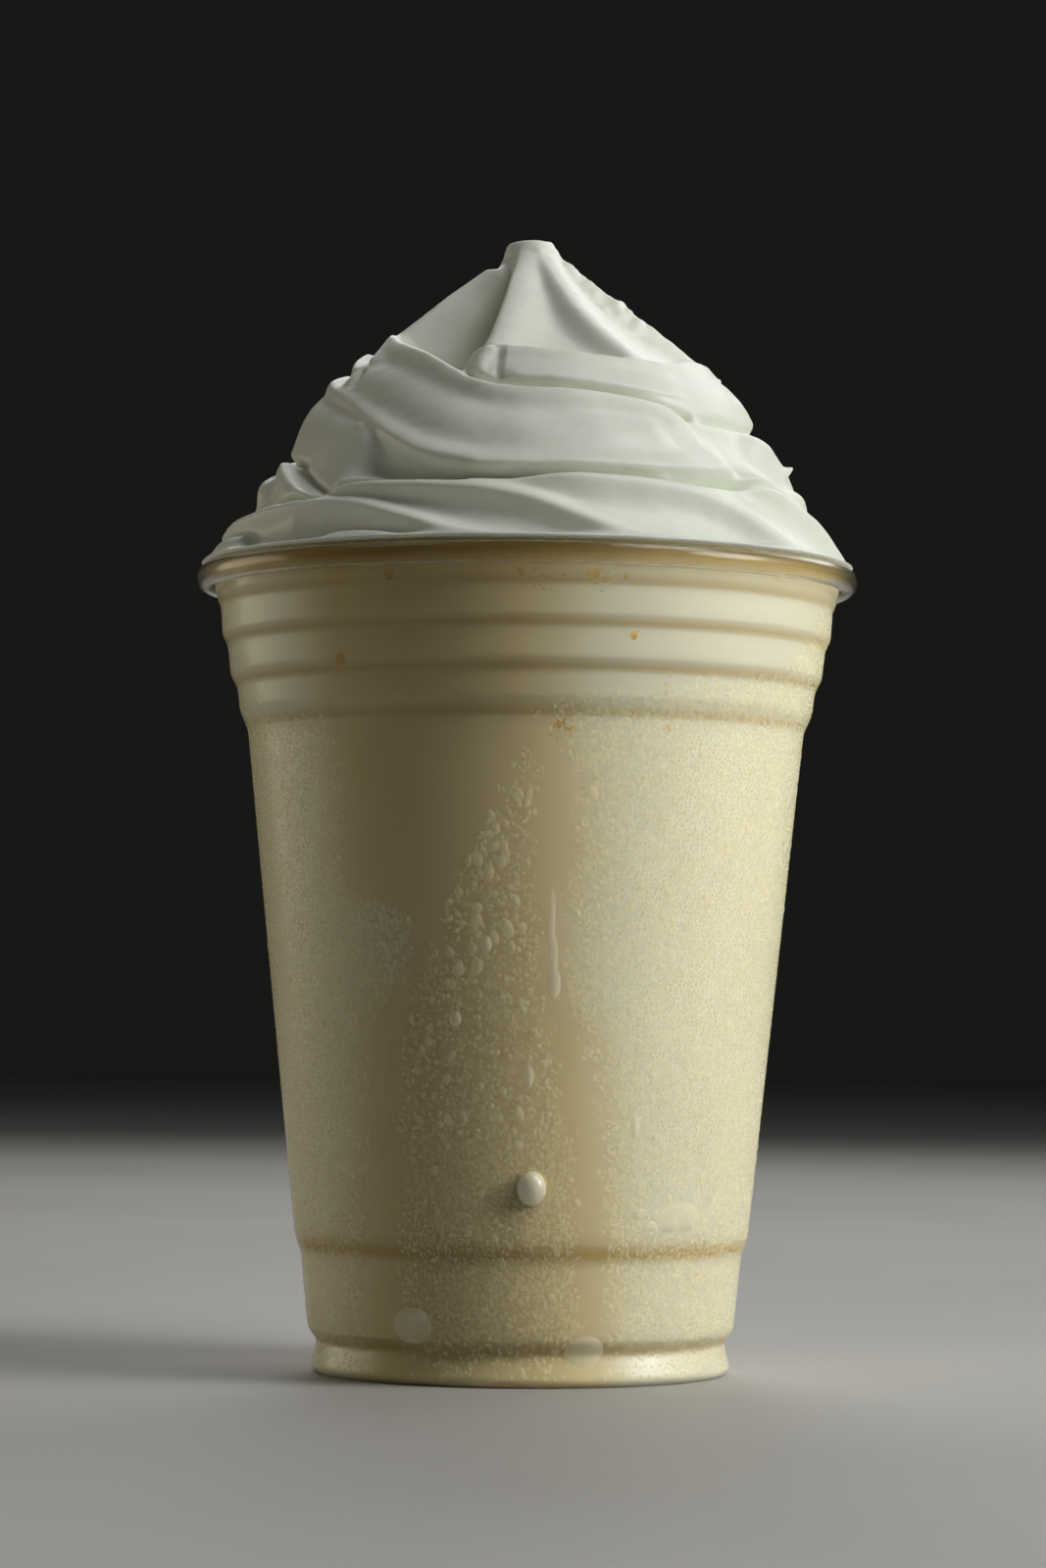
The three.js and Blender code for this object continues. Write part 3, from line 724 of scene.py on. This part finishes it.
def height_mask(nodes, links, stops):
    """A mask by height: stops of height in millimetres and value."""
    where, split, share = (nodes.new("ShaderNodeTexCoord"), nodes.new("ShaderNodeSeparateXYZ"),
                           nodes.new("ShaderNodeMath"))
    ramp = nodes.new("ShaderNodeValToRGB")
    share.operation = "DIVIDE"
    share.inputs[1].default_value = MASK_HEIGHT * MM
    links.new(where.outputs["Object"], split.inputs["Vector"])
    links.new(split.outputs["Z"], share.inputs[0])
    links.new(share.outputs["Value"], ramp.inputs["Fac"])
    while len(ramp.color_ramp.elements) < len(stops):
        ramp.color_ramp.elements.new(1.0)
    for element, (height, value) in zip(ramp.color_ramp.elements, stops):
        element.position = height / MASK_HEIGHT
        element.color = (value, value, value, 1)
    return ramp.outputs["Color"]


def blended(nodes, links, mask, below, above):
    """One colour where the mask is 0 and the other where it is 1."""
    mix = nodes.new("ShaderNodeMix")
    mix.data_type = "RGBA"
    links.new(mask, mix.inputs["Factor"])
    links.new(below, mix.inputs["A"])
    links.new(above, mix.inputs["B"])
    return mix.outputs["Result"]


def shade_and_brim_tan_stops():
    """Where the drink is painted tan: painted shade in the neck over the foot and on the steps, and the
    drink's own tan at the brim.
    """
    # Painted shade in the neck groove over the foot and under each step
    neck = [(4.2, 0.0), (4.9, 0.6), (5.6, 0.55), (6.6, 0.0)]
    lowest = [(17.7, 0.0), (18.6, 1.0), (19.3, 0.8), (20.2, 0.3), (21.4, 0.0)]
    others = [(step[0] + above, share) for step in STEPS[1:]
              for above, share in ((-0.2, 0.0), (0.6, 0.7), (1.2, 0.35), (1.9, 0.0))]
    # The drink's own tan at the brim
    brim = [(114.5, 0.15), (116.2, 0.5), (118.0, 0.64)]
    return neck + lowest + others + brim


def let_lamps_through(nodes, links, shader, tint):
    """Lets lamps shine through a clear surface on to what is behind it."""
    path, clear, mix = (nodes.new("ShaderNodeLightPath"), nodes.new("ShaderNodeBsdfTransparent"),
                        nodes.new("ShaderNodeMixShader"))
    clear.inputs["Color"].default_value = (*tint, 1)
    links.new(path.outputs["Is Shadow Ray"], mix.inputs["Fac"])
    links.new(shader.outputs["BSDF"], mix.inputs[1])
    links.new(clear.outputs["BSDF"], mix.inputs[2])
    links.new(mix.outputs["Shader"], nodes["Material Output"].inputs["Surface"])


def set_shader(shader, settings):
    """Sets a shader's own sockets."""
    for socket, value in settings.items():
        shader.inputs[socket].default_value = value


def toned_material(name, groups, tones, settings, relief):
    """A material whose colour drifts between two tones, with fine relief."""
    tone, grain = groups
    material, nodes, links, shader = new_material(name)
    links.new(use_tone(nodes, tone, *tones), shader.inputs["Base Color"])
    set_shader(shader, settings)
    use_grain(nodes, links, grain, shader, *relief)
    return material


def water_material(name, groups, tones, alpha, roughness, bending):
    """Thin pale water that lamps shine through."""
    settings = {"Alpha": alpha, "Roughness": roughness, "IOR": bending}
    material = toned_material(name, groups, tones, settings, (300, 900, 0.3, 0.05, 0.05))
    nodes = material.node_tree.nodes
    let_lamps_through(nodes, material.node_tree.links, nodes["Principled BSDF"], (1.0, 1.0, 1.0))
    return material


def whipped_cream_material(groups):
    """Satin foam that light enters a little."""
    settings = {"Roughness": 0.4, "IOR": 1.4, "Subsurface Weight": 0.4,
                "Subsurface Radius": (1.0, 0.95, 0.8), "Subsurface Scale": 1.2 * MM}
    return toned_material("whipped_cream_foam", groups, ((0.88, 0.91, 0.80), (0.85, 0.885, 0.765), 45),
                          settings, (900, 3200, 0.4, 0.25, 0.12))


def milkshake_material(groups):
    """Deeper where the wall in front was washed, with painted tan shade in the neck and step grooves and tan
    at the brim.
    """
    tone, grain = groups
    material, nodes, links, shader = new_material("vanilla_milkshake")
    pale = use_tone(nodes, tone, (0.71, 0.685, 0.525), (0.67, 0.645, 0.49), 26, 0.6, 3.0)
    deep = use_tone(nodes, tone, (0.71, 0.60, 0.335), (0.67, 0.565, 0.305), 26, 0.6, 3.0)
    washed = nodes.new("ShaderNodeAttribute")
    washed.attribute_name = "washed"
    milk = blended(nodes, links, washed.outputs["Fac"], pale, deep)
    # Tan that is painted shade in the grooves, and the drink's own tan at the brim
    tan = use_tone(nodes, tone, (0.53, 0.39, 0.12), (0.49, 0.355, 0.105), 60)
    groove = height_mask(nodes, links, shade_and_brim_tan_stops())
    links.new(blended(nodes, links, groove, milk, tan), shader.inputs["Base Color"])
    set_shader(shader, {"Roughness": 0.35, "Subsurface Weight": 0.4,
                        "Subsurface Radius": (1.0, 0.8, 0.6), "Subsurface Scale": 2 * MM})
    use_grain(nodes, links, grain, shader, 160, 700, 0.3, 0.15, 0.2)
    return material


def clear_plastic_material(groups):
    """Clear satin sheet, with a lip that is glossier and finely lined, and tinted warm in fine bands as
    painted reflection.
    """
    tone, grain = groups
    material, nodes, links, shader = new_material("clear_plastic")
    clear = use_tone(nodes, tone, (0.985, 0.985, 0.975), (0.975, 0.97, 0.955), 60)
    # Painted warm reflection in the lip
    painted_warm_reflection = use_tone(nodes, tone, (0.89, 0.83, 0.67), (0.85, 0.78, 0.61), 90)
    # Fine bands in the lip mask, which set the painted warm reflection, the roughness and the specular level
    lines = [(114.2 + 0.28 * k, (0.45, 1.0)[k % 2]) for k in range(16)]
    lip = height_mask(nodes, links, [(113.6, 0.0), (114.0, 0.4), *lines])
    links.new(blended(nodes, links, lip, clear, painted_warm_reflection), shader.inputs["Base Color"])
    for socket, wall, edge in (("Roughness", 0.24, 0.14), ("Specular IOR Level", 0.5, 0.2)):
        change = nodes.new("ShaderNodeMapRange")
        change.inputs["From Max"].default_value = 0.4
        change.inputs["To Min"].default_value, change.inputs["To Max"].default_value = wall, edge
        links.new(lip, change.inputs["Value"])
        links.new(change.outputs["Result"], shader.inputs[socket])
    set_shader(shader, {"IOR": 1.3, "Transmission Weight": 1.0})
    use_grain(nodes, links, grain, shader, 60, 1500, 0.2, 0.05, 0.1)
    let_lamps_through(nodes, links, shader, (0.97, 0.97, 0.965))
    return material


def mist_material(groups):
    """Fine drops, which veil the drink a little."""
    tones = ((0.91, 0.85, 0.57), (0.88, 0.82, 0.54), 26, 0.6, 3.0)
    return water_material("water_mist", groups, tones, 0.42, 0.5, 1.08)


def drop_material(groups):
    """Single drops, a little clearer than the mist."""
    tones = ((0.97, 0.88, 0.60), (0.94, 0.85, 0.56), 90)
    return water_material("water_drop", groups, tones, 0.4, 0.4, 1.12)


def large_drop_material(groups):
    """Large glossy drops."""
    tones = ((0.95, 0.89, 0.68), (0.92, 0.86, 0.64), 90)
    return water_material("large_water_drop", groups, tones, 0.4, 0.12, 1.33)


def amber_material(groups):
    """Thin amber specks."""
    tones = ((0.80, 0.58, 0.22), (0.74, 0.51, 0.17), 400)
    return water_material("amber_stain", groups, tones, 0.4, 0.5, 1.08)


def milk_bead_material(groups):
    """The glossy bead of milk."""
    settings = {"Roughness": 0.2, "Coat Weight": 0.3, "Subsurface Weight": 0.4, "Subsurface Scale": 1.0 * MM}
    return toned_material("milk_bead", groups, ((0.88, 0.84, 0.64), (0.84, 0.79, 0.58), 300),
                          settings, (200, 900, 0.3, 0.05, 0.05))


def floor_material(groups):
    """Plain pale matt floor."""
    return toned_material("pale_floor", groups, ((0.50, 0.49, 0.47), (0.46, 0.45, 0.43), 5),
                          {"Roughness": 0.6}, (200, 1200, 0.5, 0.1, 0.2))


# Room
def add_floor(material):
    """The plane that the cup stands on."""
    corners = [(x * FLOOR_HALF_SIZE, y * FLOOR_HALF_SIZE, 0) for x, y in ((-1, -1), (1, -1), (1, 1), (-1, 1))]
    mesh = bpy.data.meshes.new("floor")
    mesh.from_pydata(corners, [], [(0, 1, 2, 3)])
    mesh.materials.append(material)
    floor = bpy.data.objects.new("floor", mesh)
    bpy.context.scene.collection.objects.link(floor)


def add_lamp(name, turn, lift, size, power, colour):
    """A round soft lamp that looks at the cup from a turn round it and a lift above the level."""
    lamp = bpy.data.lights.new(name, "AREA")
    lamp.shape = "DISK"
    lamp.size = size
    lamp.energy = power
    lamp.color = colour
    holder = bpy.data.objects.new(name, lamp)
    bpy.context.scene.collection.objects.link(holder)
    lift = math.radians(lift)
    target = Vector(LAMP_TARGET)
    holder.location = target + LAMP_DISTANCE * Vector((*place(turn, math.cos(lift), 0)[:2], math.sin(lift)))
    holder.rotation_euler = (target - holder.location).to_track_quat("-Z", "Y").to_euler()


def add_light():
    """The dark room and its lamps."""
    world = bpy.data.worlds.new("room")
    world.use_nodes = True
    world.node_tree.nodes["Background"].inputs["Color"].default_value = (*ROOM_COLOUR, 1)
    bpy.context.scene.world = world
    for lamp in LAMPS:
        add_lamp(*lamp)
    bpy.context.scene.view_settings.view_transform = "Standard"


def add_camera():
    """A camera in front, pitched up and rolled a little."""
    camera = bpy.data.cameras.new("camera")
    camera.lens = LENS
    camera.sensor_width = SENSOR
    holder = bpy.data.objects.new("camera", camera)
    bpy.context.scene.collection.objects.link(holder)
    ahead = Vector((0, math.cos(CAMERA_PITCH), math.sin(CAMERA_PITCH)))
    level_up = Vector((0, -math.sin(CAMERA_PITCH), math.cos(CAMERA_PITCH)))
    right = Vector((1, 0, 0)) * math.cos(CAMERA_ROLL) + level_up * math.sin(CAMERA_ROLL)
    up = level_up * math.cos(CAMERA_ROLL) - Vector((1, 0, 0)) * math.sin(CAMERA_ROLL)
    holder.matrix_world = Matrix((right, up, -ahead)).transposed().to_4x4()
    holder.location = (CAMERA_ASIDE, -CAMERA_DISTANCE, CAMERA_HEIGHT)
    bpy.context.scene.camera = holder


def add_cup(groups):
    """The clear cup as one closed sheet."""
    points, faces = revolve(np.concatenate([OUTER, INNER[::-1]]), CUP_SIDES)
    add_piece("clear_cup", points, faces, clear_plastic_material(groups), "cup")


def add_drink(groups):
    """The drink, which reaches half way into the sheet all round."""
    filled = WALL[:int(np.argmax(WALL[:, 1] > BRIM))]
    top = [(46.2, BRIM - 0.05), (45.2, BRIM - 0.5), (44.7, DRINK_LEVEL), (0, DRINK_LEVEL)]
    points, faces = revolve(np.concatenate([filled, top]), DRINK_SIDES)
    fill = add_piece("milkshake_fill", points, faces, milkshake_material(groups), "milkshake")
    mark_washed(fill)


def add_cream(groups):
    """The swirl of whipped cream."""
    points, faces = cream_mesh()
    add_piece("cream_swirl", points, faces, whipped_cream_material(groups), "whipped_cream")


add_camera()
GROUPS = tone_group(), grain_group()
add_cup(GROUPS)
add_drink(GROUPS)
add_cream(GROUPS)
add_drops(mist_material(GROUPS), drop_material(GROUPS))
add_large_drops(large_drop_material(GROUPS), milk_bead_material(GROUPS))
add_stains(amber_material(GROUPS))
add_floor(floor_material(GROUPS))
add_light()
